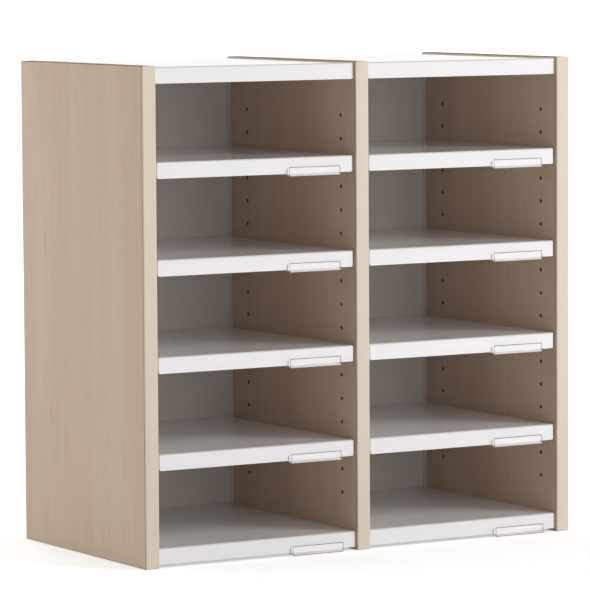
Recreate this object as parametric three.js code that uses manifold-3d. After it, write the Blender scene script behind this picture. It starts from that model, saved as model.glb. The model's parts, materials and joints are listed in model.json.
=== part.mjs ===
// Pigeonhole mail sorter: wood-decor uprights carry two bays of folded steel trays.
// Sizes are in millimetres. +Z is up, X runs across the width and the open front faces -Y.
// The origin lies on the floor, under the middle of the carcass.
import * as THREE from "three";
import { mergeVertices } from "three/addons/utils/BufferGeometryUtils.js";
import Module from "manifold-3d";

const wasm = await Module();
wasm.setup();

// Carcass: the uprights stand on the floor with the bays between them.
const uprightNames = ["left", "center", "right"];
const bayNames = ["left", "right"];
const bayWidth = 306;
const carcassDepth = 345;
const uprightHeight = 660;
const uprightThickness = 20;
const bandThickness = 2;
const bandEdgeRadius = 1.5;
const bandEndRadius = 2.5;
const glueLine = 0.2;

// Rows of shelf holes in the inner faces, and the pins that sit in them.
const holePitch = 32;
const firstHoleHeight = 75;
const topHoleMargin = 70;
const frontRowSetback = 39.5;
const rearRowSetback = 54.5;
const pinDiameter = 5;
const pinFit = 0.15;
const pinSeatDepth = 11;
const pinRestLength = 6.5;
const pinChamfer = 0.6;
const holeBottomGap = 0.5;

// Folded steel trays: a deck with a front lip and flanges at the sides and rear.
const sheet = 1;
const lipHeight = 22;
const lipSetback = 4.5;
const lipEndRadius = 2.5;
const lipReturn = 6;
const hemHeight = 8;
const topRecess = 1.5;
const floorGap = 4;
const seatGap = 0.3;

// Adjustable shelves: short flanges rest on the pins, every few holes up the bay.
const flangeHeight = 8.5;
const firstShelfIndex = 2;
const shelfHoleCount = 4;
const leastCompartment = 80;
const shelfSideClearance = 1.2;
const shelfRearClearance = 2;

// Back panels: a sheet flush with the rear edges, with a narrow flange along each upright.
const backSheet = 1;
const backFlange = 11;
const backRelief = 1;

// Connecting screws through the flanges of the fixed trays.
const screwDiameter = 5;
const screwLength = 13;
const screwHeadDiameter = 9;
const screwHeadHeight = 2.5;
const screwHeadTaper = 1.5;
const screwDrop = 12;

// Label holders: a clear profile hooked round the lower edge of the lip.
const holderLength = 79;
const holderInset = 24;
const holderWall = 1.2;
const holderRise = 9.4;
const holderPlateRise = 7.2;
const holderSlot = 3.5;
const holderLean = 1;
const holderDrop = 3.4;
const hookRise = 6;

// Smoothness of round shapes.
const roundSides = 10;
const arcSteps = 3;
const overcut = 1;

// Sizes that follow from the ones above.
const uprightPitch = bayWidth + uprightThickness;
const sorterWidth = bayNames.length * uprightPitch + uprightThickness;
const frontY = -carcassDepth / 2;
const rearY = carcassDepth / 2;
const holeRows = { front: frontY + frontRowSetback, rear: rearY - rearRowSetback };
const holeRadius = pinDiameter / 2 + pinFit;
const holeCount = 1 + Math.floor((uprightHeight - topHoleMargin - firstHoleHeight) / holePitch);
const boardDepth = carcassDepth - bandThickness - glueLine;
const fixedTrayWidth = bayWidth - 2 * seatGap;
const fixedTrayDepth = carcassDepth - lipSetback - backSheet - seatGap;
const shelfEndGap = seatGap + backSheet + shelfSideClearance;
const shelfWidth = bayWidth - 2 * shelfEndGap;
const shelfDepth = carcassDepth - lipSetback - backSheet - shelfRearClearance;
const topDeckHeight = uprightHeight - topRecess;
const bottomDeckHeight = floorGap + lipHeight;
const pinReach = shelfEndGap + pinRestLength;
const hemmedLip = 2 * sheet;
const screwY = frontY + lipSetback + fixedTrayDepth / 2;
const screwHeights = { top: topDeckHeight - screwDrop, bottom: bottomDeckHeight - screwDrop };
const screwFace = seatGap + sheet + seatGap;

const uprightX = (index) => (uprightThickness - sorterWidth) / 2 + index * uprightPitch;
const bayX = (index) => uprightX(index) + uprightPitch / 2;
const holeHeight = (index) => firstHoleHeight + index * holePitch;
const deckAbovePin = pinDiameter / 2 + seatGap + flangeHeight;

// Holes that carry a shelf, counted from the floor, while the top compartment stays usable.
const shelfHoles = [];
const highestDeck = topDeckHeight - lipHeight - leastCompartment;
for (let hole = firstShelfIndex; hole < holeCount; hole += shelfHoleCount) {
  if (holeHeight(hole) + deckAbovePin <= highestDeck) shelfHoles.push(hole);
}

const finishes = {
  decor: new THREE.MeshStandardMaterial({ color: 0xcbbba3, roughness: 0.55, metalness: 0 }),
  band: new THREE.MeshStandardMaterial({ color: 0xdccdba, roughness: 0.5, metalness: 0 }),
  whiteSteel: new THREE.MeshStandardMaterial({ color: 0xececee, roughness: 0.35, metalness: 0 }),
  backSteel: new THREE.MeshStandardMaterial({ color: 0xe4e3e1, roughness: 0.45, metalness: 0 }),
  zinc: new THREE.MeshStandardMaterial({ color: 0xb4b6b8, roughness: 0.35, metalness: 1 }),
  clear: new THREE.MeshStandardMaterial({
    color: 0xf2f4f5,
    roughness: 0.08,
    metalness: 0,
    transparent: true,
    opacity: 0.3,
  }),
};

// A closed geometry as a solid that can be joined and cut.
function solid(geometry) {
  const bare = geometry.clone();
  bare.deleteAttribute("normal");
  bare.deleteAttribute("uv");
  const merged = mergeVertices(bare, 1e-4);
  return new wasm.Manifold(
    new wasm.Mesh({
      numProp: 3,
      vertProperties: new Float32Array(merged.attributes.position.array),
      triVerts: new Uint32Array(merged.index.array),
    }),
  );
}

function geometryOf(body) {
  const { vertProperties, triVerts } = body.getMesh();
  const geometry = new THREE.BufferGeometry();
  geometry.setAttribute("position", new THREE.BufferAttribute(vertProperties, 3));
  geometry.setIndex(new THREE.BufferAttribute(triVerts, 1));
  const faceted = geometry.toNonIndexed();
  faceted.computeVertexNormals();
  return faceted;
}

// A box between two corners.
function block([x0, y0, z0], [x1, y1, z1]) {
  const geometry = new THREE.BoxGeometry(x1 - x0, y1 - y0, z1 - z0);
  return geometry.translate((x0 + x1) / 2, (y0 + y1) / 2, (z0 + z1) / 2);
}

// A round bar along X, starting at the given point.
function barAlongX(radius, length, [x, y, z]) {
  const geometry = new THREE.CylinderGeometry(radius, radius, length, roundSides);
  return geometry.rotateZ(-Math.PI / 2).translate(x + length / 2, y, z);
}

// A profile of [radius, distance] points turned round the X axis.
function turnedAlongX(profile) {
  const points = profile.map(([radius, distance]) => new THREE.Vector2(radius, distance));
  return new THREE.LatheGeometry(points, roundSides).rotateZ(-Math.PI / 2);
}

// A rectangle whose lower corners are square and whose upper corners are rounded, or all four.
function roundedOutline(x0, y0, x1, y1, lowRadius, highRadius) {
  const outline = new THREE.Shape();
  const corner = (x, y, radius, start) => {
    const quarter = Math.PI / 2;
    if (radius > 0) outline.absarc(x, y, radius, start, start + quarter, false);
    else outline.lineTo(x, y);
  };
  outline.moveTo(x0 + lowRadius, y0);
  corner(x1 - lowRadius, y0 + lowRadius, lowRadius, -Math.PI / 2);
  corner(x1 - highRadius, y1 - highRadius, highRadius, 0);
  corner(x0 + highRadius, y1 - highRadius, highRadius, Math.PI / 2);
  corner(x0 + lowRadius, y0 + lowRadius, lowRadius, Math.PI);
  return outline;
}

const raised = (outline, depth) =>
  new THREE.ExtrudeGeometry(outline, { depth, bevelEnabled: false, curveSegments: arcSteps });

// A board with its shelf holes and the seats of its connecting screws.
function uprightGeometry(index) {
  const half = uprightThickness / 2;
  const first = index === 0;
  const last = index === uprightNames.length - 1;
  const pinDrill = pinSeatDepth + holeBottomGap;
  const screwDrill = screwLength - screwFace + holeBottomGap;
  const drill = (depth) => {
    const outer = first || last;
    const length = (outer ? depth : uprightThickness + overcut) + overcut;
    return { length, start: first ? half - depth : -half - overcut };
  };
  const drillings = [];
  for (const y of Object.values(holeRows)) {
    for (let hole = 0; hole < holeCount; hole += 1) {
      drillings.push({ radius: holeRadius, y, z: holeHeight(hole), ...drill(pinDrill) });
    }
  }
  for (const z of Object.values(screwHeights)) {
    drillings.push({ radius: screwDiameter / 2 + pinFit, y: screwY, z, ...drill(screwDrill) });
  }
  let board = solid(block([-half, rearY - boardDepth, 0], [half, rearY, uprightHeight]));
  for (const { radius, length, start, y, z } of drillings) {
    board = board.subtract(solid(barAlongX(radius, length, [start, y, z])));
  }
  return geometryOf(board);
}

// The strip on the front edge: its long edges are rounded in plan, its ends in the front view.
function bandGeometry() {
  const half = uprightThickness / 2;
  const plan = roundedOutline(-half, 0, half, bandThickness, 0, bandEdgeRadius);
  const strip = raised(plan, uprightHeight).rotateZ(Math.PI);
  const face = roundedOutline(-half, 0, half, uprightHeight, bandEndRadius, bandEndRadius);
  const ends = raised(face, bandThickness + 2 * overcut).rotateX(Math.PI / 2).translate(0, overcut, 0);
  return geometryOf(solid(strip).intersect(solid(ends)));
}

// A tray with its deck's front top edge on the X axis and its depth along +Y.
function trayGeometry(width, depth, sideFlange, screwed) {
  const half = width / 2;
  const plan = (inset, radius) =>
    raised(roundedOutline(inset - half, inset - depth, half - inset, -inset, 0, radius), lipHeight)
      .rotateZ(Math.PI)
      .translate(0, 0, -lipHeight);
  const innerRadius = Math.max(lipEndRadius - sheet, 0);
  const hem = block(
    [-half, 0, -lipHeight - overcut],
    [half, hemmedLip, hemHeight - lipHeight],
  );
  const hollow = solid(plan(sheet, innerRadius).translate(0, 0, -sheet)).subtract(solid(hem));
  let tray = solid(plan(0, lipEndRadius)).subtract(hollow);
  if (sideFlange < lipHeight) {
    const below = block(
      [-half - overcut, lipReturn, -lipHeight - overcut],
      [half + overcut, depth + overcut, -sideFlange],
    );
    tray = tray.subtract(solid(below));
  }
  if (screwed) {
    const y = screwY - frontY - lipSetback;
    const hole = barAlongX(screwDiameter / 2 + pinFit, width + 2 * overcut, [
      -half - overcut,
      y,
      -screwDrop,
    ]);
    tray = tray.subtract(solid(hole));
  }
  return geometryOf(tray);
}

// A back sheet with two side flanges that stop clear of the fixed trays.
function backGeometry() {
  const half = fixedTrayWidth / 2;
  const flangeLow = bottomDeckHeight + backRelief;
  const flangeHigh = topDeckHeight - lipHeight - backRelief;
  let panel = solid(block([-half, rearY - backSheet, floorGap], [half, rearY, topDeckHeight]));
  for (const x of [-half, half - backSheet]) {
    const flange = block([x, rearY - backFlange, flangeLow], [x + backSheet, rearY, flangeHigh]);
    panel = panel.add(solid(flange));
  }
  return geometryOf(panel);
}

// A holder in section: distance in front of the lip, then height above the lip's lower edge.
function holderGeometry() {
  const plateBack = seatGap;
  const plateFront = plateBack + holderWall;
  const mouth = plateFront + holderSlot;
  const foot = mouth + holderLean;
  const hookFront = -hemmedLip - seatGap;
  const underside = -seatGap - holderWall;
  const section = new THREE.Shape();
  section.moveTo(mouth, holderRise);
  section.lineTo(foot, -holderDrop + holderWall);
  section.lineTo(plateFront, -seatGap);
  section.lineTo(plateFront, holderPlateRise);
  section.lineTo(plateBack, holderPlateRise);
  section.lineTo(plateBack, -seatGap);
  section.lineTo(hookFront, -seatGap);
  section.lineTo(hookFront, hookRise);
  section.lineTo(hookFront - holderWall, hookRise);
  section.lineTo(hookFront - holderWall, underside);
  section.lineTo(plateBack, underside);
  section.lineTo(foot + holderWall, -holderDrop);
  section.lineTo(mouth + holderWall, holderRise);
  section.closePath();
  const toFront = new THREE.Vector3(0, -1, 0);
  const toTop = new THREE.Vector3(0, 0, 1);
  const along = new THREE.Vector3(-1, 0, 0);
  return raised(section, holderLength)
    .applyMatrix4(new THREE.Matrix4().makeBasis(toFront, toTop, along))
    .translate(holderLength / 2, 0, 0);
}

// A pin with chamfered ends, lying along X from the origin.
function pinGeometry(length) {
  const radius = pinDiameter / 2;
  return turnedAlongX([
    [0, 0],
    [radius - pinChamfer, 0],
    [radius, pinChamfer],
    [radius, length - pinChamfer],
    [radius - pinChamfer, length],
    [0, length],
  ]);
}

// A screw with its head's seat at the origin and its shank along +X, or with a head at each end.
function screwGeometry(span, secondHead) {
  const shank = screwDiameter / 2;
  const head = screwHeadDiameter / 2;
  const rim = head - screwHeadTaper;
  const profile = [
    [0, -screwHeadHeight],
    [rim, -screwHeadHeight],
    [head, screwHeadTaper - screwHeadHeight],
    [head, 0],
    [shank, 0],
    [shank, span],
  ];
  if (secondHead) {
    profile.push([head, span], [head, span + screwHeadHeight - screwHeadTaper]);
    profile.push([rim, span + screwHeadHeight], [0, span + screwHeadHeight]);
  } else {
    profile.push([0, span]);
  }
  return turnedAlongX(profile);
}

const sorter = new THREE.Group();

function addPiece(parent, name, geometry, finish) {
  const piece = new THREE.Mesh(geometry, finish);
  piece.name = name;
  parent.add(piece);
  return piece;
}

function addGroup(parent, x, y, z) {
  const group = new THREE.Group();
  group.position.set(x, y, z);
  parent.add(group);
  return group;
}

// A tray with its holder, both placed from the deck's front top edge.
function addTray(bay, name, height, geometry, holder) {
  const seat = addGroup(bay, 0, frontY + lipSetback, height);
  addPiece(seat, name, geometry, finishes.whiteSteel);
  if (holder) {
    const clip = addPiece(seat, holder.name, holderGeometry(), finishes.clear);
    clip.position.set(holder.trayWidth / 2 - holderInset - holderLength / 2, 0, -lipHeight);
  }
}

// Uprights with their bands, pins and connecting screws.
uprightNames.forEach((side, index) => {
  const stand = addGroup(sorter, uprightX(index), 0, 0);
  const half = uprightThickness / 2;
  const first = index === 0;
  const outer = first || index === uprightNames.length - 1;
  addPiece(stand, `upright_${side}`, uprightGeometry(index), finishes.decor);
  const band = addPiece(stand, `edge_band_${side}`, bandGeometry(), finishes.band);
  band.position.y = frontY + bandThickness;

  const pinLength = outer ? pinSeatDepth + pinReach : uprightThickness + 2 * pinReach;
  const pinStart = first ? half - pinSeatDepth : -half - pinReach;
  for (const [row, y] of Object.entries(holeRows)) {
    shelfHoles.forEach((hole, level) => {
      const name = `support_pin_${side}_${row}_${level + 1}`;
      const pin = addPiece(stand, name, pinGeometry(pinLength), finishes.zinc);
      pin.position.set(pinStart, y, holeHeight(hole));
    });
  }

  const span = outer ? screwLength : uprightThickness + 2 * screwFace;
  for (const [end, z] of Object.entries(screwHeights)) {
    const name = `connecting_screw_${side}_${end}`;
    const screw = addPiece(stand, name, screwGeometry(span, !outer), finishes.zinc);
    screw.position.set(first ? half + screwFace : -half - screwFace, screwY, z);
    if (first) screw.rotation.z = Math.PI;
  }
});

// Bays with their fixed trays, back panel and adjustable shelves.
bayNames.forEach((side, index) => {
  const bay = addGroup(sorter, bayX(index), 0, 0);
  const fixedTray = trayGeometry(fixedTrayWidth, fixedTrayDepth, lipHeight, true);
  const shelf = trayGeometry(shelfWidth, shelfDepth, flangeHeight, false);
  addPiece(bay, `back_panel_${side}`, backGeometry(), finishes.backSteel);
  addTray(bay, `top_tray_${side}`, topDeckHeight, fixedTray);
  addTray(bay, `bottom_tray_${side}`, bottomDeckHeight, fixedTray, {
    name: `label_holder_${side}_bottom`,
    trayWidth: fixedTrayWidth,
  });
  shelfHoles.forEach((hole, level) => {
    const deck = holeHeight(hole) + deckAbovePin;
    addTray(bay, `shelf_${side}_${level + 1}`, deck, shelf, {
      name: `label_holder_${side}_${level + 1}`,
      trayWidth: shelfWidth,
    });
  });
});

export default sorter;
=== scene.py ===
import json
import math

import bmesh
import bpy
from mathutils import Matrix, Vector


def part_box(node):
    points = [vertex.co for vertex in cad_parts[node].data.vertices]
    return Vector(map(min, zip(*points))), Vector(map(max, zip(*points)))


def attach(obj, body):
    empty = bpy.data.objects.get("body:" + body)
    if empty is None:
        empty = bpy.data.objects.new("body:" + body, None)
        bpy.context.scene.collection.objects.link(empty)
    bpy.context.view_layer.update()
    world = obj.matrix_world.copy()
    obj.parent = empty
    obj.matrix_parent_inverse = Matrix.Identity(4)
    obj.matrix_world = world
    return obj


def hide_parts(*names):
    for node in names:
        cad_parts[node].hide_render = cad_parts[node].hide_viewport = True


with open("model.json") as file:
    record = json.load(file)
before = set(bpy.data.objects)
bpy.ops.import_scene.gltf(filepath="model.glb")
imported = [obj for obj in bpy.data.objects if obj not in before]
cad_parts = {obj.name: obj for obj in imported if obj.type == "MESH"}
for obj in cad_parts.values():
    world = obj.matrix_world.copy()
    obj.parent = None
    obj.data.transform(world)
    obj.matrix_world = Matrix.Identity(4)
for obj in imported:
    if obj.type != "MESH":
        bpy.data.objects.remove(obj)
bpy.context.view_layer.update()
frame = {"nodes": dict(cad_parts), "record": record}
bodyOf = {node: body for body, nodes in frame["record"]["behaviour"]["bodies"].items() for node in nodes}
mm = 0.001
hair = 1e-6  # places nearer than this are the same place
touch = 0.05 * mm  # a face or edge this near to a plane lies in it
parallel = 0.99  # an edge with this much of its direction along an axis runs along it
leaning = 0.5  # a face with more of its normal along an axis faces that way
foldAngle = 1.0  # in radians: faces that turn by more meet in a fold
flatAngle = 0.01  # faces that turn by less are one flat face


# one socket of a finish, so that shader maths reads as plain sums
class Wire:
    def __init__(self, finish, socket):
        self.finish = finish
        self.socket = socket

    def math(self, operation, first, second):
        return self.finish.node("ShaderNodeMath", {"operation": operation}, {0: first, 1: second})

    def __add__(self, other):
        return self.math("ADD", self, other)

    def __radd__(self, other):
        return self.math("ADD", other, self)

    def __sub__(self, other):
        return self.math("SUBTRACT", self, other)

    def __rsub__(self, other):
        return self.math("SUBTRACT", other, self)

    def __mul__(self, other):
        return self.math("MULTIPLY", self, other)

    def __rmul__(self, other):
        return self.math("MULTIPLY", other, self)


# the node tree of one material, or of the world
class Finish:
    def __init__(self, owner):
        self.owner = owner
        owner.use_nodes = True
        self.tree = owner.node_tree
        self.tree.nodes.clear()

    def node(self, kind, settings=None, values=None, out=0):
        made = self.tree.nodes.new(kind)
        for key, value in (settings or {}).items():
            if key == "stops":
                ramp = made.color_ramp
                while len(ramp.elements) < len(value):
                    ramp.elements.new(0.5)
                for element, (place, colour) in zip(ramp.elements, value):
                    element.position = place
                    element.color = colour
            else:
                setattr(made, key, value)
        for key, value in (values or {}).items():
            if isinstance(value, Wire):
                self.tree.links.new(value.socket, made.inputs[key])
            else:
                made.inputs[key].default_value = value
        return Wire(self, made.outputs[out])

    def place(self, stretch=(1, 1, 1)):
        spot = self.node("ShaderNodeTexCoord", out="Object")
        return self.node("ShaderNodeMapping", {}, {"Vector": spot, "Scale": stretch})

    def noise(self, stretch, scale, detail=2.0, roughness=0.5, distortion=0.0):
        values = {"Vector": self.place(stretch), "Scale": scale, "Detail": detail}
        values.update({"Roughness": roughness, "Distortion": distortion})
        return self.node("ShaderNodeTexNoise", {}, values)

    def span(self, value, low, high, start=0.0, end=1.0):
        values = {"Value": value, "From Min": low, "From Max": high, "To Min": start, "To Max": end}
        return self.node("ShaderNodeMapRange", {}, values)

    def ramp(self, factor, *stops):
        return self.node("ShaderNodeValToRGB", {"stops": stops}, {"Fac": factor})

    def blend(self, factor, first, second):
        settings = {"data_type": "RGBA", "clamp_factor": True}
        return self.node("ShaderNodeMix", settings, {0: factor, 6: first, 7: second}, 2)

    def bump(self, height, distance, strength):
        values = {"Height": height, "Distance": distance, "Strength": strength}
        return self.node("ShaderNodeBump", {}, values)

    def surface(self, colour, roughness, **others):
        values = {"Base Color": colour, "Roughness": roughness, **others}
        return self.node("ShaderNodeBsdfPrincipled", {}, values)

    def close(self, shader, kind="ShaderNodeOutputMaterial"):
        last = self.tree.nodes.new(kind)
        self.tree.links.new(shader.socket, last.inputs["Surface"])
        return self.owner


def newFinish(name):
    return Finish(bpy.data.materials.new(name))


# a screen colour from 0 to 255 as the linear colour that a shader takes
def tone(*screen):
    shares = [value / 255 for value in screen]
    linear = [share / 12.92 if share <= 0.04045 else ((share + 0.055) / 1.055) ** 2.4 for share in shares]
    return (*linear, 1.0)


decorLook = {
    "pale": (221, 201, 180),
    "middle": (214, 192, 170),
    "dark": (205, 181, 157),
    "stops": (0.35, 0.5, 0.65),
    "zone": {"stretch": (1, 1, 0.12), "scale": 10, "detail": 1},
    "figure": {"stretch": (1, 1, 0.07), "scale": 24, "detail": 3, "distortion": 0.5},
    "streak": {"stretch": (1, 1, 0.035), "scale": 110, "detail": 3, "roughness": 0.55, "distortion": 0.3},
    "fibre": {"stretch": (1, 1, 0.03), "scale": 700},
    "shares": {"zone": 0.4, "figure": 0.3, "streak": 0.18, "fibre": 0.12},
    "dash": (184, 157, 133),
    "dashes": {"stretch": (1, 1, 0.03), "scale": 520, "detail": 1, "roughness": 0.4},
    "dashSpan": (0.63, 0.72),
    "dashShare": 0.28,
    "fibreHeight": 0.6,
    "dashDepth": 0.5,
    "relief": 0.06 * mm,
    "reliefStrength": 0.3,
    "roughness": 0.46,
    "streakRoughness": 0.14,
}


# printed oak: broad zones and soft figure, finer streaks along the height, and short dark dashes
def decorFinish(look):
    board = newFinish("paleDecor")
    grain = {name: board.noise(**look[name]) for name in look["shares"]}
    first, *others = [grain[name] * share for name, share in look["shares"].items()]
    colours = [tone(*look[name]) for name in ("dark", "middle", "pale")]
    colour = board.ramp(sum(others, first), *zip(look["stops"], colours))
    dash = board.span(board.noise(**look["dashes"]), *look["dashSpan"])
    colour = board.blend(dash * look["dashShare"], colour, tone(*look["dash"]))
    height = grain["fibre"] * look["fibreHeight"] - dash * look["dashDepth"]
    relief = board.bump(height, look["relief"], look["reliefStrength"])
    roughness = grain["streak"] * look["streakRoughness"] + look["roughness"]
    return board.close(board.surface(colour, roughness, Normal=relief))


bandLook = {
    "pale": (228, 217, 202),
    "dark": (217, 203, 186),
    "grain": {"stretch": (1, 1, 0.02), "scale": 320, "detail": 3, "roughness": 0.55},
    "cloud": {"stretch": (1, 1, 0.2), "scale": 14},
    "grainShare": 0.6,
    "cloudShare": 0.4,
    "relief": 0.04 * mm,
    "reliefStrength": 0.25,
    "roughness": 0.4,
    "cloudRoughness": 0.14,
}


def bandFinish(look):
    strip = newFinish("creamBand")
    grain, cloud = strip.noise(**look["grain"]), strip.noise(**look["cloud"])
    shade = grain * look["grainShare"] + cloud * look["cloudShare"]
    colour = strip.blend(shade, tone(*look["dark"]), tone(*look["pale"]))
    relief = strip.bump(grain, look["relief"], look["reliefStrength"])
    roughness = cloud * look["cloudRoughness"] + look["roughness"]
    return strip.close(strip.surface(colour, roughness, Normal=relief))


coreLook = {"pale": (150, 118, 84), "dark": (98, 70, 46), "relief": 0.2 * mm}
sealLook = {"pale": (158, 138, 118), "dark": (134, 115, 96), "relief": 0.05 * mm}
chipMake = {
    "chips": {"stretch": (1, 1, 1), "scale": 600, "detail": 3, "roughness": 0.6},
    "stops": (0.35, 0.65),
    "reliefStrength": 0.6,
    "roughness": 0.8,
    "chipRoughness": 0.1,
}


# pressed chips: raw inside the holes, sealed on the edges that carry no band
def chipFinish(name, look, make):
    core = newFinish(name)
    chips = core.noise(**make["chips"])
    colour = core.ramp(chips, *zip(make["stops"], (tone(*look["dark"]), tone(*look["pale"]))))
    relief = core.bump(chips, look["relief"], make["reliefStrength"])
    roughness = chips * make["chipRoughness"] + make["roughness"]
    return core.close(core.surface(colour, roughness, Normal=relief))


trayLook = {"pale": (243, 241, 243), "dull": (237, 235, 237), "roughness": 0.07, "reliefStrength": 0.02}
deckLook = {"pale": (243, 241, 242), "dull": (237, 235, 236), "roughness": 0.02, "reliefStrength": 0.01}
# the front bend: the coat's white made darker, painted shade along the lip's top edge
bendShadeLook = {"pale": (218, 214, 215), "dull": (210, 206, 207), "roughness": 0.4, "reliefStrength": 0.02}
backLook = {"pale": (241, 235, 229), "dull": (234, 228, 222), "roughness": 0.3, "reliefStrength": 0.12}
coatMake = {
    "peel": {"stretch": (1, 1, 1), "scale": 620, "detail": 1, "roughness": 0.4},
    "cloud": {"stretch": (1, 1, 1), "scale": 9},
    "peelShare": 0.12,
    "cloudShare": 0.5,
    "relief": 0.05 * mm,
    "cloudRoughness": 0.06,
}


# powder coat on steel: slow clouds in the white and a fine orange peel
def coatFinish(name, look, make):
    coat = newFinish(name)
    peel, cloud = coat.noise(**make["peel"]), coat.noise(**make["cloud"])
    shade = cloud * make["cloudShare"] + peel * make["peelShare"]
    colour = coat.blend(shade, tone(*look["pale"]), tone(*look["dull"]))
    relief = coat.bump(peel, make["relief"], look["reliefStrength"])
    roughness = cloud * make["cloudRoughness"] + look["roughness"]
    return coat.close(coat.surface(colour, roughness, Normal=relief))


zincLook = {
    "pale": (196, 198, 200),
    "dull": (168, 170, 172),
    "spangle": {"stretch": (0.15, 1, 1), "scale": 1400},
    "roughness": 0.25,
    "spangleRoughness": 0.2,
}


def zincFinish(look):
    zinc = newFinish("zincPlate")
    spangle = zinc.noise(**look["spangle"])
    colour = zinc.blend(spangle, tone(*look["dull"]), tone(*look["pale"]))
    roughness = spangle * look["spangleRoughness"] + look["roughness"]
    return zinc.close(zinc.surface(colour, roughness, Metallic=1.0))


wallLook = {"pale": (252, 252, 253), "dull": (246, 246, 248), "body": 0.0, "grazing": 0.06}
# the holder's ends and rims: dark grey, a painted dark reflection on the cut edges
edgeShadeLook = {"pale": (112, 110, 113), "dull": (74, 72, 76), "body": 0.65, "grazing": 0.3}
# the holder's bent foot: pale and mostly covered, a painted sheen for the light the bend gathers
footSheenLook = {"pale": (244, 238, 234), "dull": (208, 200, 196), "body": 0.75, "grazing": 0.2}
clearMake = {
    "haze": {"stretch": (0.3, 1, 1), "scale": 120},
    "roughness": 0.05,
    "hazeRoughness": 0.06,
    "edgeBlend": 0.35,
}


# clear plastic: the front wall lets the plate behind show; the cut edges and rims carry a painted dark
# reflection, the bent foot a painted pale sheen
def clearFinish(name, look, make):
    plastic = newFinish(name)
    haze = plastic.noise(**make["haze"])
    colour = plastic.blend(haze, tone(*look["dull"]), tone(*look["pale"]))
    skin = plastic.surface(colour, haze * make["hazeRoughness"] + make["roughness"])
    facing = plastic.node("ShaderNodeLayerWeight", {}, {"Blend": make["edgeBlend"]}, "Facing")
    through = plastic.node("ShaderNodeBsdfTransparent", {}, {"Color": (1, 1, 1, 1)})
    cover = facing * look["grazing"] + look["body"]
    seen = plastic.node("ShaderNodeMixShader", {}, {0: cover, 1: through, 2: skin})
    lamps = plastic.node("ShaderNodeLightPath", out="Is Shadow Ray")
    return plastic.close(plastic.node("ShaderNodeMixShader", {}, {0: lamps, 1: seen, 2: through}))


plateLook = {
    "pale": (251, 250, 252),
    "dull": (245, 244, 246),
    "haze": {"stretch": (0.3, 1, 1), "scale": 120},
    "roughness": 0.3,
    "hazeRoughness": 0.1,
}


# the holder's white back plate and hook, made in one with its clear front
def plateFinish(look):
    plate = newFinish("whitePlate")
    haze = plate.noise(**look["haze"])
    colour = plate.blend(haze, tone(*look["dull"]), tone(*look["pale"]))
    return plate.close(plate.surface(colour, haze * look["hazeRoughness"] + look["roughness"]))


finishes = {
    "decor": decorFinish(decorLook),
    "band": bandFinish(bandLook),
    "core": chipFinish("boardCore", coreLook, chipMake),
    "seal": chipFinish("sealedEdge", sealLook, chipMake),
    "tray": coatFinish("whiteCoat", trayLook, coatMake),
    "deck": coatFinish("deckCoat", deckLook, coatMake),
    "bend": coatFinish("bendPaintedShade", bendShadeLook, coatMake),
    "back": coatFinish("backCoat", backLook, coatMake),
    "zinc": zincFinish(zincLook),
    "wall": clearFinish("clearWall", wallLook, clearMake),
    "rim": clearFinish("clearEdgeShade", edgeShadeLook, clearMake),
    "foot": clearFinish("clearFootSheen", footSheenLook, clearMake),
    "plate": plateFinish(plateLook),
}
print("finishes:", len(finishes))


# a box between two corners, as the start of a piece
def blockMesh(low, high):
    bm = bmesh.new()
    bmesh.ops.create_cube(bm, size=1)
    bmesh.ops.scale(bm, vec=high - low, verts=bm.verts)
    bmesh.ops.translate(bm, vec=(low + high) / 2, verts=bm.verts)
    bm.normal_update()
    return bm


def roundEdges(bm, edges, radius, segments):
    settings = {"affect": "EDGES", "segments": segments, "profile": 0.5, "material": -1}
    bmesh.ops.bevel(bm, geom=edges, offset=radius, **settings)
    bm.normal_update()


# a cut line across some faces, which stay in one piece
def scoreLine(bm, point, normal, faces):
    edges = {edge for face in faces for edge in face.edges}
    verts = {vert for face in faces for vert in face.verts}
    parts = [*verts, *edges, *faces]
    bmesh.ops.bisect_plane(bm, geom=parts, plane_co=point, plane_no=normal, dist=0.1 * hair)


def pushFaces(bm, faces, shift):
    edges = {edge for face in faces for edge in face.edges}
    grown = bmesh.ops.extrude_face_region(bm, geom=[*faces, *edges])["geom"]
    verts = [part for part in grown if isinstance(part, bmesh.types.BMVert)]
    bmesh.ops.translate(bm, vec=shift, verts=verts)


def along(edge, axis):
    return abs((edge.verts[0].co - edge.verts[1].co).normalized()[axis]) > parallel


def middle(edge):
    return (edge.verts[0].co + edge.verts[1].co) / 2


# a bar along X, for a pin or for the drill that makes its hole
def addBar(bm, start, end, y, z, radius, sides):
    settings = {"cap_ends": True, "segments": sides, "radius1": radius, "radius2": radius}
    turn = Matrix.Translation(((start + end) / 2, y, z)) @ Matrix.Rotation(math.pi / 2, 4, "Y")
    bmesh.ops.create_cone(bm, depth=end - start, matrix=turn, **settings)


# turns a bmesh into a finished piece that stands for one node
def addPiece(node, bm, looks, sharp=40):
    for face in bm.faces:
        face.smooth = True
    for edge in bm.edges:
        edge.smooth = len(edge.link_faces) == 2 and edge.calc_face_angle(0) < math.radians(sharp)
    mesh = bpy.data.meshes.new(node + "_shape")
    bm.to_mesh(mesh)
    bm.free()
    for look in looks:
        mesh.materials.append(finishes[look])
    piece = bpy.data.objects.new(node + "_piece", mesh)
    bpy.context.scene.collection.objects.link(piece)
    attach(piece, bodyOf[node])
    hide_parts(node)
    return piece


def evenNormals(piece):
    piece.modifiers.new("evenNormals", "WEIGHTED_NORMAL").keep_sharp = True


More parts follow.
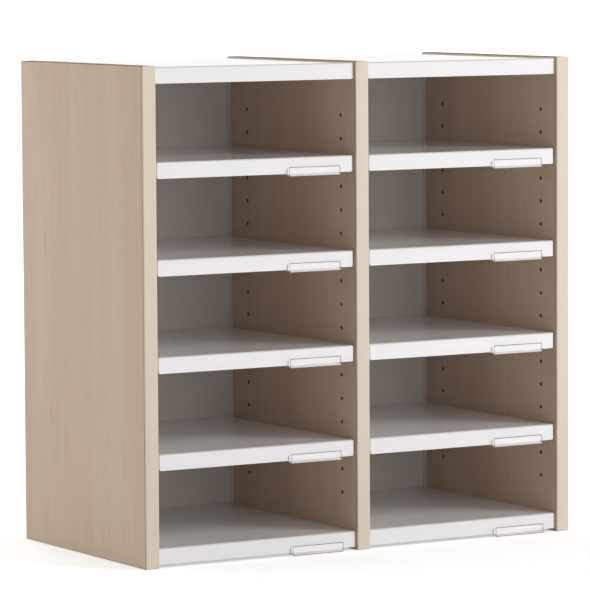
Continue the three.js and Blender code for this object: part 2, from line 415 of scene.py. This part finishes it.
# takes a second shape out of a piece and gives the cut its own finish
def cutAway(piece, bm, look):
    mesh = bpy.data.meshes.new("cutter")
    bm.to_mesh(mesh)
    bm.free()
    mesh.materials.append(finishes[look])
    cutter = bpy.data.objects.new("cutter", mesh)
    bpy.context.scene.collection.objects.link(cutter)
    cut = piece.modifiers.new("cut", "BOOLEAN")
    cut.operation = "DIFFERENCE"
    cut.solver = "EXACT"
    cut.material_mode = "TRANSFER"
    cut.object = cutter
    bpy.context.view_layer.update()
    ready = piece.evaluated_get(bpy.context.evaluated_depsgraph_get())
    shape = bpy.data.meshes.new_from_object(ready)
    piece.modifiers.clear()
    piece.data = shape
    bpy.data.objects.remove(cutter)


trayMake = {
    "sheet": 1.0 * mm,
    "bend": 1.7 * mm,
    "endBend": 1.9 * mm,
    "corner": 4.0 * mm,
    "bendSegments": 4,
    "lipReturn": 6.0 * mm,
    "shelfFlange": 8.5 * mm,
    "hem": 8.0 * mm,
    "hemRound": 0.6 * mm,
    "hemSegments": 3,
    "lipTurn": 0.9,
    "deckTurn": 0.99,
    "bendTurn": 0.1,
}


# the inner side of a tray's lip, below a height
def lipBack(bm, y, top, make):
    found = []
    for face in bm.faces:
        spot = face.calc_center_median()
        if face.normal.y > make["lipTurn"] and abs(spot.y - y) < touch and spot.z < top:
            found.append(face)
    return found


# a folded tray: open box, short flanges behind the lip, bends, wall, then the hem along the lip
def trayMesh(low, high, flange, make):
    bm = blockMesh(low, high)
    bmesh.ops.delete(bm, geom=[face for face in bm.faces if face.normal.z < -leaning], context="FACES")
    returnEnd, flangeEnd = low.y + make["lipReturn"], high.z - flange
    if flangeEnd > low.z + hair:
        scoreLine(bm, (0, returnEnd, 0), (0, 1, 0), bm.faces[:])
        scoreLine(bm, (0, 0, flangeEnd), (0, 0, 1), bm.faces[:])
        waste = []
        for face in bm.faces:
            spot = face.calc_center_median()
            if spot.z < flangeEnd and spot.y > returnEnd:
                waste.append(face)
        bmesh.ops.delete(bm, geom=waste, context="FACES")
    bmesh.ops.dissolve_limit(bm, angle_limit=flatAngle, verts=bm.verts, edges=bm.edges)
    folds = [edge for edge in bm.edges if len(edge.link_faces) == 2 and edge.calc_face_angle() > foldAngle]
    roundEdges(bm, [edge for edge in folds if along(edge, 2)], make["endBend"], make["bendSegments"])
    rim = []
    for edge in bm.edges:
        level = all(abs(vert.co.z - high.z) < hair for vert in edge.verts)
        if level and len(edge.link_faces) == 2 and edge.calc_face_angle() > foldAngle:
            rim.append(edge)
    roundEdges(bm, rim, make["bend"], make["bendSegments"])

    # the lower edge rises round the ends of the lip, up to its returns
    corner, centre, reach = make["corner"], (low.x + high.x) / 2, (high.x - low.x) / 2 - make["corner"]
    for x in (centre - reach, centre + reach):
        scoreLine(bm, (x, 0, 0), (1, 0, 0), bm.faces[:])
    for y in (returnEnd, returnEnd + corner):
        scoreLine(bm, (0, y, 0), (0, 1, 0), bm.faces[:])
    for vert in bm.verts:
        past = min(abs(vert.co.x - centre) - reach, corner)
        if past > 0 and vert.co.z < low.z + hair and vert.co.y < returnEnd + hair:
            vert.co.z += corner - math.sqrt(corner**2 - past**2)

    bmesh.ops.recalc_face_normals(bm, faces=bm.faces)
    bmesh.ops.solidify(bm, geom=bm.faces[:], thickness=make["sheet"])
    bmesh.ops.recalc_face_normals(bm, faces=bm.faces)

    inside, hemTop = low.y + make["sheet"], low.z + make["hem"]
    scoreLine(bm, (0, 0, hemTop), (0, 0, 1), lipBack(bm, inside, high.z, make))
    pushFaces(bm, lipBack(bm, inside, hemTop, make), (0, make["sheet"], 0))
    bmesh.ops.recalc_face_normals(bm, faces=bm.faces)
    foot = []
    for edge in bm.edges:
        lowest = abs(middle(edge).z - low.z) < touch
        if lowest and along(edge, 0) and edge.calc_face_angle(0) > foldAngle:
            foot.append(edge)
    roundEdges(bm, foot, make["hemRound"], make["hemSegments"])
    for face in bm.faces:  # the deck is smoothest, and the front bend takes a darker colour as painted shade
        if face.calc_center_median().z > high.z - make["bend"]:
            if face.normal.z > make["deckTurn"]:
                face.material_index = 1
            elif face.normal.y < -make["bendTurn"] and face.normal.z > make["bendTurn"]:
                face.material_index = 2
    return bm


for node in sorted(frame["nodes"]):
    if "tray" in node or node.startswith("shelf"):
        low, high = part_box(node)
        flange = trayMake["shelfFlange"] if node.startswith("shelf") else high.z - low.z
        folded = trayMesh(low, high, flange, trayMake)
        evenNormals(addPiece(node, folded, ["tray", "deck", "bend"]))
print("trays folded")

uprightMake = {
    "edge": 0.8 * mm,
    "edgeSegments": 2,
    "sealTurn": 0.95,
    "holeRadius": 2.65 * mm,
    "holeSides": 20,
    "holeSpare": 0.5 * mm,
    "holeCount": 17,
    "holesBelow": 2,
    "holesPerShelf": 4,
    "drillRun": 1.0 * mm,
}


# the drill's path: a hole for every pin place and screw, blind where the pin stops inside the board
def drillMesh(side, low, high, make):
    bores = []
    for row in ("front", "rear"):
        pin, above = [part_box(f"support_pin_{side}_{row}_{level}") for level in (1, 2)]
        pitch = (above[0].z - pin[0].z) / make["holesPerShelf"]
        bores += [(pin, pitch * (step - make["holesBelow"])) for step in range(make["holeCount"])]
    bores += [(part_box(f"connecting_screw_{side}_{end}"), 0) for end in ("top", "bottom")]
    bm = bmesh.new()
    for (near, far), lift in bores:
        start = near.x - make["holeSpare"] if near.x > low.x else low.x - make["drillRun"]
        end = far.x + make["holeSpare"] if far.x < high.x else high.x + make["drillRun"]
        y, z = (near.y + far.y) / 2, (near.z + far.z) / 2 + lift
        addBar(bm, start, end, y, z, make["holeRadius"], make["holeSides"])
    return bm


for side in ("left", "center", "right"):
    node = "upright_" + side
    low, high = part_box(node)
    bm = blockMesh(low, high)
    roundEdges(bm, bm.edges[:], uprightMake["edge"], uprightMake["edgeSegments"])
    for face in bm.faces:
        face.material_index = 1 if abs(face.normal.x) < uprightMake["sealTurn"] else 0
    board = addPiece(node, bm, ["decor", "seal"])
    cutAway(board, drillMesh(side, low, high, uprightMake), "core")
    evenNormals(board)
print("uprights drilled")

bandMake = {"corner": 2.5 * mm, "front": 1.4 * mm, "rear": 0.3 * mm, "segments": 4, "sharp": 50}

for side in ("left", "center", "right"):
    node = "edge_band_" + side
    low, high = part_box(node)
    bm = blockMesh(low, high)
    roundEdges(bm, [edge for edge in bm.edges if along(edge, 1)], bandMake["corner"], bandMake["segments"])
    for y, radius in ((low.y, bandMake["front"]), (high.y, bandMake["rear"])):
        ring = [edge for edge in bm.edges if all(abs(vert.co.y - y) < hair for vert in edge.verts)]
        roundEdges(bm, ring, radius, bandMake["segments"])
    evenNormals(addPiece(node, bm, ["band"], bandMake["sharp"]))
print("bands glued")

backMake = {"sheet": 1.0 * mm, "bend": 1.4 * mm, "bendSegments": 3, "relief": 1.0 * mm}


# a back sheet: a bent strip raised to the full height, with the flanges trimmed at both ends
def backMesh(low, high, flangeLow, flangeHigh, make):
    bm = bmesh.new()
    corners = [(low.x, low.y), (low.x, high.y), (high.x, high.y), (high.x, low.y)]
    verts = [bm.verts.new((x, y, low.z)) for x, y in corners]
    edges = [bm.edges.new(pair) for pair in zip(verts, verts[1:])]
    raised = bmesh.ops.extrude_edge_only(bm, edges=edges)["geom"]
    top = [part for part in raised if isinstance(part, bmesh.types.BMVert)]
    bmesh.ops.translate(bm, vec=(0, 0, high.z - low.z), verts=top)
    bm.normal_update()
    for height in (flangeLow, flangeHigh):
        scoreLine(bm, (0, 0, height), (0, 0, 1), bm.faces[:])
    waste = []
    for face in bm.faces:
        height = face.calc_center_median().z
        if abs(face.normal.x) > leaning and not flangeLow < height < flangeHigh:
            waste.append(face)
    bmesh.ops.delete(bm, geom=waste, context="FACES")
    bends = [edge for edge in bm.edges if len(edge.link_faces) == 2 and edge.calc_face_angle() > foldAngle]
    roundEdges(bm, bends, make["bend"], make["bendSegments"])
    bmesh.ops.recalc_face_normals(bm, faces=bm.faces)
    if max(bm.faces, key=lambda face: face.calc_area()).normal.y < 0:
        bmesh.ops.reverse_faces(bm, faces=bm.faces)
    bmesh.ops.solidify(bm, geom=bm.faces[:], thickness=make["sheet"])
    bmesh.ops.recalc_face_normals(bm, faces=bm.faces)
    return bm


for side in ("left", "right"):
    node = "back_panel_" + side
    low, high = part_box(node)
    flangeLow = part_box("bottom_tray_" + side)[1].z + backMake["relief"]
    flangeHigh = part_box("top_tray_" + side)[0].z - backMake["relief"]
    sheet = backMesh(low, high, flangeLow, flangeHigh, backMake)
    evenNormals(addPiece(node, sheet, ["back"]))
print("backs set")

holderMake = {
    "wall": 1.2 * mm,
    "gap": 0.3 * mm,
    "lip": 2.0 * mm,
    "slot": 3.5 * mm,
    "lean": 1.0 * mm,
    "rise": 9.4 * mm,
    "plateRise": 7.2 * mm,
    "hook": 6.0 * mm,
    "soft": 0.3 * mm,
    "softSegments": 2,
    "rim": 0.8 * mm,
    "end": 0.5 * mm,
    "foot": 3.2 * mm,
    "sharp": 35,
}


# the holder's section, in front of the lip and above the lip's lower edge, drawn out along X
def holderMesh(low, high, make):
    wall, gap = make["wall"], make["gap"]
    plate = gap + wall
    mouth = plate + make["slot"]
    foot = mouth + make["lean"]
    hook = -make["lip"] - gap
    lipFace, lipFoot = low.y + foot + wall, high.z - make["rise"]
    drop = low.z - lipFoot
    section = [
        (mouth, make["rise"]),
        (foot, drop + wall),
        (plate, -gap),
        (plate, make["plateRise"]),
        (gap, make["plateRise"]),
        (gap, -gap),
        (hook, -gap),
        (hook, make["hook"]),
        (hook - wall, make["hook"]),
        (hook - wall, -gap - wall),
        (gap, -gap - wall),
        (foot + wall, drop),
        (mouth + wall, make["rise"]),
    ]
    bm = bmesh.new()
    verts = [bm.verts.new((low.x, lipFace - reach, lipFoot + height)) for reach, height in section]
    pushFaces(bm, [bm.faces.new(verts)], (high.x - low.x, 0, 0))
    bmesh.ops.recalc_face_normals(bm, faces=bm.faces)
    roundEdges(bm, bm.edges[:], make["soft"], make["softSegments"])

    # cut lines beside the edges, where the painted dark edge reflection and the painted foot sheen begin
    rimTop, footTop, footRim = high.z - make["rim"], low.z + make["foot"], low.z + make["rim"]
    lines = [((0, 0, height), (0, 0, 1)) for height in (rimTop, footTop, footRim)]
    lines += [((x, 0, 0), (1, 0, 0)) for x in (low.x + make["end"], high.x - make["end"])]
    for point, normal in lines:
        scoreLine(bm, point, normal, [face for face in bm.faces if abs(face.normal.x) < leaning])
    bm.normal_update()
    # ends and rims take the painted dark edge reflection, the foot the painted pale sheen
    for face in bm.faces:
        spot = face.calc_center_median()
        atEnd = not low.x + make["end"] < spot.x < high.x - make["end"]
        if spot.y > lipFace - plate - make["gap"] / 2:
            face.material_index = 3
        elif atEnd or not footRim < spot.z < rimTop:
            face.material_index = 1
        elif spot.z < footTop:
            face.material_index = 2
    return bm


for node in sorted(frame["nodes"]):
    if node.startswith("label_holder"):
        low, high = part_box(node)
        clip, looks = holderMesh(low, high, holderMake), ["wall", "rim", "foot", "plate"]
        addPiece(node, clip, looks, holderMake["sharp"])
print("holders clipped on")

pinMake = {"sides": 24, "chamfer": 0.6 * mm, "chamferSegments": 2, "sharp": 50}

for node in sorted(frame["nodes"]):
    if node.startswith("support_pin"):
        low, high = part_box(node)
        centre, radius = (low + high) / 2, (high.z - low.z) / 2
        bm = bmesh.new()
        addBar(bm, low.x, high.x, centre.y, centre.z, radius, pinMake["sides"])
        ends = [edge for edge in bm.edges if not along(edge, 0)]
        roundEdges(bm, ends, pinMake["chamfer"], pinMake["chamferSegments"])
        evenNormals(addPiece(node, bm, ["zinc"], pinMake["sharp"]))
print("pins set")

screwMake = {
    "sides": 24,
    "head": 9.0 * mm,
    "headHeight": 2.5 * mm,
    "crown": 1.4 * mm,
    "crownFrom": 0.95,
    "crownSegments": 4,
    "shank": 5.0 * mm,
    "socket": 1.9 * mm,
    "socketSides": 6,
    "socketDepth": 1.4 * mm,
}


def headEnds(low, high, heads):
    return [low.x] * ("low" in heads) + [high.x] * ("high" in heads)


# a turned screw: the section goes from the axis round the head and along the shank
def screwMesh(low, high, heads, make):
    centre = (low + high) / 2
    head, shank, deep = make["head"] / 2, make["shank"] / 2, make["headHeight"]
    path = [(low.x, 0), (low.x, shank)]
    if "low" in heads:
        path = [(low.x, 0), (low.x, head), (low.x + deep, head), (low.x + deep, shank)]
    if "high" in heads:
        path += [(high.x - deep, shank), (high.x - deep, head), (high.x, head), (high.x, 0)]
    else:
        path += [(high.x, shank), (high.x, 0)]
    bm = bmesh.new()
    verts = [bm.verts.new((x, centre.y, centre.z + radius)) for x, radius in path]
    edges = [bm.edges.new(pair) for pair in zip(verts, verts[1:])]
    settings = {"cent": (0, centre.y, centre.z), "axis": (1, 0, 0), "angle": 2 * math.pi, "use_merge": True}
    bmesh.ops.spin(bm, geom=verts + edges, steps=make["sides"], **settings)
    bmesh.ops.remove_doubles(bm, verts=bm.verts, dist=hair)
    bmesh.ops.dissolve_limit(bm, angle_limit=flatAngle, verts=bm.verts, edges=bm.edges)
    bmesh.ops.recalc_face_normals(bm, faces=bm.faces)
    crowns = []
    for edge in bm.edges:
        spot = middle(edge)
        wide = math.hypot(spot.y - centre.y, spot.z - centre.z) > head * make["crownFrom"]
        atEnd = any(abs(spot.x - x) < hair for x in headEnds(low, high, heads))
        if wide and atEnd and not along(edge, 0):
            crowns.append(edge)
    roundEdges(bm, crowns, make["crown"], make["crownSegments"])
    return bm


def socketMesh(low, high, heads, make):
    bm = bmesh.new()
    centre, deep = (low + high) / 2, make["socketDepth"]
    for x in headEnds(low, high, heads):
        addBar(bm, x - deep, x + deep, centre.y, centre.z, make["socket"], make["socketSides"])
    return bm


screwHeads = {"left": ("high",), "center": ("low", "high"), "right": ("low",)}
for side, heads in screwHeads.items():
    for level in ("top", "bottom"):
        node = f"connecting_screw_{side}_{level}"
        low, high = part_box(node)
        screw = addPiece(node, screwMesh(low, high, heads, screwMake), ["zinc"])
        cutAway(screw, socketMesh(low, high, heads, screwMake), "zinc")
        evenNormals(screw)
print("screws driven")


# where the studio's white is seen: straight on, in gloss and through clear walls
def seenWhite(finish):
    kinds = ("Is Camera Ray", "Is Glossy Ray", "Is Transmission Ray")
    straight, gloss, through = [finish.node("ShaderNodeLightPath", out=kind) for kind in kinds]
    settings = {"operation": "ADD", "use_clamp": True}
    return finish.node("ShaderNodeMath", settings, {0: straight + gloss, 1: through})


floorMake = {
    "size": 120.0,
    "drop": 0.2 * mm,
    "albedo": 0.8,
    "near": 1.0,
    "far": 5.0,
    "nearGlow": 0.48,
    "farGlow": 1.0,
}


def floorFinish(make):
    paper = newFinish("studioPaper")
    reach = paper.node("ShaderNodeVectorMath", {"operation": "LENGTH"}, {0: paper.place()}, "Value")
    fade = paper.span(reach, make["near"], make["far"], make["nearGlow"], make["farGlow"])
    sheet = paper.node("ShaderNodeBsdfDiffuse", {}, {"Color": (make["albedo"],) * 3 + (1,)})
    shine = seenWhite(paper) * fade
    glow = paper.node("ShaderNodeEmission", {}, {"Color": (1, 1, 1, 1), "Strength": shine})
    return paper.close(paper.node("ShaderNodeAddShader", {}, {0: sheet, 1: glow}))


bm = bmesh.new()
bmesh.ops.create_grid(bm, x_segments=1, y_segments=1, size=floorMake["size"])
bmesh.ops.translate(bm, vec=(0, 0, -floorMake["drop"]), verts=bm.verts)
mesh = bpy.data.meshes.new("studioFloor")
bm.to_mesh(mesh)
bm.free()
mesh.materials.append(floorFinish(floorMake))
floor = bpy.data.objects.new("studioFloor", mesh)
bpy.context.scene.collection.objects.link(floor)

lampMake = {
    "key": {"at": (2.9, -3.3, 2.3), "size": 1.8, "power": 123},
    "front": {"at": (0.6, -5.0, 1.6), "size": 2.4, "power": 35},
    "side": {"at": (-3.2, 1.6, 1.3), "size": 2.0, "power": 32},
    "rear": {"at": (0.4, 4.0, 3.2), "size": 2.4, "power": 90},
}
lampAim = Vector((0, 0, 0.33))
for name, make in lampMake.items():
    lamp = bpy.data.lights.new(name, "AREA")
    lamp.shape = "SQUARE"
    lamp.size = make["size"]
    lamp.energy = make["power"]
    stand = bpy.data.objects.new(name, lamp)
    stand.location = make["at"]
    stand.rotation_mode = "QUATERNION"
    stand.rotation_quaternion = (lampAim - stand.location).to_track_quat("-Z", "Y")
    stand.visible_glossy = False  # the smooth decks mirror the white studio, not the lamps
    bpy.context.scene.collection.objects.link(stand)

skyMake = {"light": 0.31, "tint": (1.0, 0.98, 0.96, 1)}
world = bpy.data.worlds.new("studio")
bpy.context.scene.world = world
sky = Finish(world)
soft = sky.node("ShaderNodeBackground", {}, {"Color": skyMake["tint"], "Strength": skyMake["light"]})
plain = sky.node("ShaderNodeBackground", {}, {"Color": (1, 1, 1, 1), "Strength": 1.0})
seen = sky.node("ShaderNodeMixShader", {}, {0: seenWhite(sky), 1: soft, 2: plain})
sky.close(seen, "ShaderNodeOutputWorld")

cameraMake = {
    "at": (-2.886222, -4.824994, 0.811836),
    "sensor": 36,
    "lens": 249.0583,
    "yaw": 0.5385067,
    "pitch": 0.0848300,
    "roll": 0.0057964,
    "clipEnd": 400,
}
eye = bpy.data.cameras.new("eye")
eye.sensor_width = cameraMake["sensor"]
eye.lens = cameraMake["lens"]
eye.clip_end = cameraMake["clipEnd"]
camera = bpy.data.objects.new("eye", eye)
yaw = Matrix.Rotation(-cameraMake["yaw"], 4, "Z")
pitch = Matrix.Rotation(math.pi / 2 - cameraMake["pitch"], 4, "X")
roll = Matrix.Rotation(-cameraMake["roll"], 4, "Z")
camera.matrix_world = Matrix.Translation(cameraMake["at"]) @ yaw @ pitch @ roll
bpy.context.scene.collection.objects.link(camera)
bpy.context.scene.camera = camera
bpy.context.scene.view_settings.view_transform = "Standard"
print("studio ready")
